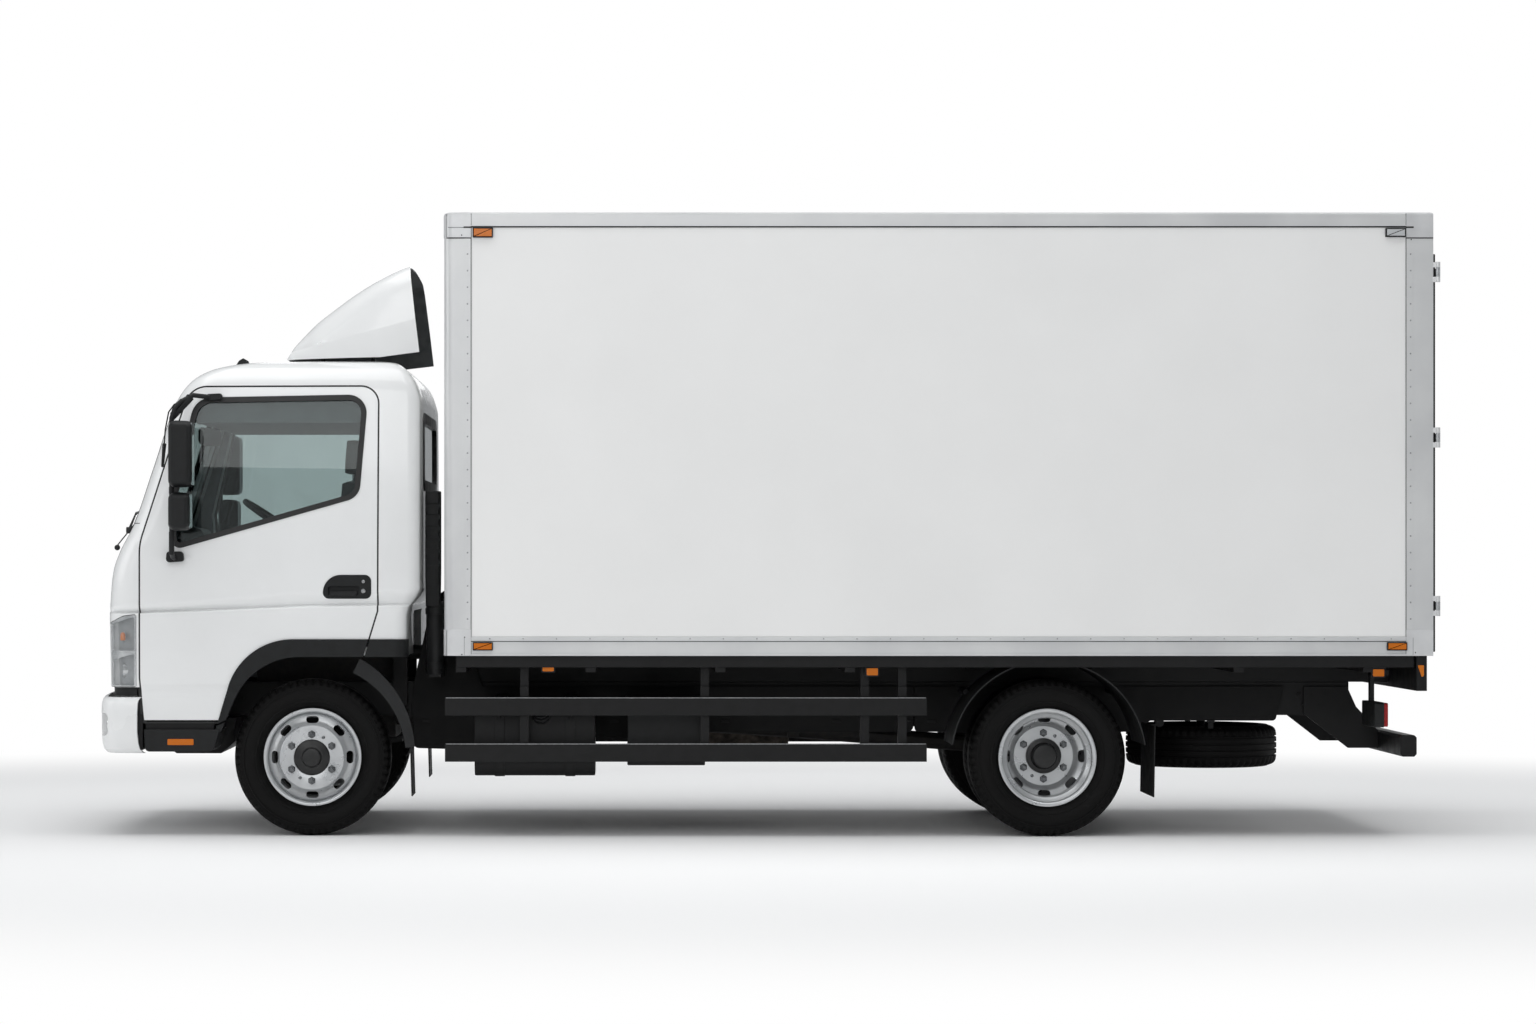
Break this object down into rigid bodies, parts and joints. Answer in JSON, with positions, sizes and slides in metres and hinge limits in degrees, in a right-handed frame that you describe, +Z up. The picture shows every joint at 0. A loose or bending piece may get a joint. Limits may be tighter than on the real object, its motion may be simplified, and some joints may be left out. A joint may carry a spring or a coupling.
{
  "type": "box truck",
  "caption": "Light tilt-cab box truck on a ladder frame, with a panelled load body, hinged cab and rear doors, steered front wheels and twin rear wheels.",
  "frame": {"origin": "on the ground, midway between the front bumper and the rear door gear, on the truck's centre plane", "axes": "+X towards the rear of the truck, +Y towards its right side, +Z up"},
  "size_m": [6.498, 2.48, 2.982],
  "materials": {
    "white_paint": "gloss",
    "white_panel": "satin",
    "aluminium": "satin",
    "black_plastic": "matte",
    "chassis_paint": "satin",
    "tyre": "matte",
    "rim": "satin",
    "glass": "gloss",
    "lamp_clear": "gloss",
    "lamp_red": "gloss",
    "trim_grey": "matte",
    "seat": "matte",
    "floor": "matte",
    "engine": "matte",
    "exhaust": "satin"
  },
  "bodies": {
    "chassis": {"frame": "chassis_paint", "body_bearers": "chassis_paint", "front_axle": "chassis_paint", "rear_axle": "chassis_paint", "engine": "engine", "gearbox_and_shaft": "engine", "fuel_tank": "chassis_paint", "battery_box": "black_plastic", "exhaust": "exhaust", "air_intake": "black_plastic", "spare_wheel": "tyre", "bumper": "white_paint", "entry_step_left": "black_plastic", "entry_step_right": "black_plastic", "mudguard_front_left": "black_plastic", "mudguard_front_right": "black_plastic", "mudguard_rear_left": "black_plastic", "mudguard_rear_right": "black_plastic", "side_guard_left": "chassis_paint", "side_guard_right": "chassis_paint", "underrun_bar": "chassis_paint", "rear_lamp_left": "lamp_red", "rear_lamp_right": "lamp_red", "body_floor": "floor", "body_wall_left": "white_panel", "body_wall_right": "white_panel", "body_front_wall": "white_panel", "body_roof": "white_panel", "body_edge_frame": "aluminium"},
    "cab": {"cab_shell": "white_paint", "windscreen": "glass", "rear_window": "glass", "roof_fairing": "white_paint", "grille": "black_plastic", "headlamp_left": "lamp_clear", "headlamp_right": "lamp_clear", "dashboard": "trim_grey", "seats": "seat"},
    "door_left": {"door_left": "white_paint", "door_glass_left": "glass", "mirror_left": "black_plastic"},
    "door_right": {"door_right": "white_paint", "door_glass_right": "glass", "mirror_right": "black_plastic"},
    "steering_wheel": {"steering_wheel": "black_plastic"},
    "knuckle_left": {"knuckle_left": "chassis_paint"},
    "knuckle_right": {"knuckle_right": "chassis_paint"},
    "tie_rod": {"tie_rod": "chassis_paint"},
    "wheel_front_left": {"tyre_front_left": "tyre", "rim_front_left": "rim"},
    "wheel_front_right": {"tyre_front_right": "tyre", "rim_front_right": "rim"},
    "wheel_rear_left": {"tyre_rear_left_outer": "tyre", "tyre_rear_left_inner": "tyre", "rims_rear_left": "rim"},
    "wheel_rear_right": {"tyre_rear_right_outer": "tyre", "tyre_rear_right_inner": "tyre", "rims_rear_right": "rim"},
    "rear_door_left": {"rear_door_left": "white_panel"},
    "rear_door_right": {"rear_door_right": "white_panel"}
  },
  "joints": [
    {"name": "cab_tilt", "type": "hinge", "parent": "chassis", "child": "cab", "pos_m": [-3.051, 0, 0.735], "axis": [0, -1, 0], "range_deg": [0, 45]},
    {"name": "door_left", "type": "hinge", "parent": "cab", "child": "door_left", "pos_m": [-2.979, -0.9875, 1.3], "axis": [0, 0, -1], "range_deg": [0, 70]},
    {"name": "door_right", "type": "hinge", "parent": "cab", "child": "door_right", "pos_m": [-2.979, 0.9875, 1.3], "axis": [0, 0, 1], "range_deg": [0, 70]},
    {"name": "steering_wheel", "type": "hinge", "parent": "cab", "child": "steering_wheel", "pos_m": [-2.371, -0.45, 1.5], "axis": [0.5592, 0, 0.829], "range_deg": [-646, 646]},
    {"name": "knuckle_left", "type": "hinge", "parent": "chassis", "child": "knuckle_left", "pos_m": [-2.171, -0.72, 0.3765], "axis": [0, 0, 1], "range_deg": [-38, 38]},
    {"name": "knuckle_right", "type": "hinge", "parent": "chassis", "child": "knuckle_right", "pos_m": [-2.171, 0.72, 0.3765], "axis": [0, 0, 1], "range_deg": [-38, 38]},
    {"name": "tie_rod", "type": "hinge", "parent": "knuckle_left", "child": "tie_rod", "pos_m": [-2.001, -0.72, 0.262], "axis": [0, 0, 1], "range_deg": [-38, 38]},
    {"name": "wheel_front_left", "type": "hinge", "parent": "knuckle_left", "child": "wheel_front_left", "pos_m": [-2.171, -0.8325, 0.3765], "axis": [0, 1, 0], "continuous": true},
    {"name": "wheel_front_right", "type": "hinge", "parent": "knuckle_right", "child": "wheel_front_right", "pos_m": [-2.171, 0.8325, 0.3765], "axis": [0, 1, 0], "continuous": true},
    {"name": "wheel_rear_left", "type": "hinge", "parent": "chassis", "child": "wheel_rear_left", "pos_m": [1.359, -0.78, 0.3765], "axis": [0, 1, 0], "continuous": true},
    {"name": "wheel_rear_right", "type": "hinge", "parent": "chassis", "child": "wheel_rear_right", "pos_m": [1.359, 0.78, 0.3765], "axis": [0, 1, 0], "continuous": true},
    {"name": "rear_door_left", "type": "hinge", "parent": "chassis", "child": "rear_door_left", "pos_m": [3.203, -1.112, 1.908], "axis": [0, 0, -1], "range_deg": [0, 255]},
    {"name": "rear_door_right", "type": "hinge", "parent": "chassis", "child": "rear_door_right", "pos_m": [3.203, 1.112, 1.908], "axis": [0, 0, 1], "range_deg": [0, 255]}
  ],
  "couplings": [
    {"joint": "steering_wheel", "follows": "knuckle_left", "ratio": 17},
    {"joint": "knuckle_right", "follows": "knuckle_left", "ratio": 1},
    {"joint": "tie_rod", "follows": "knuckle_left", "ratio": -1}
  ]
}
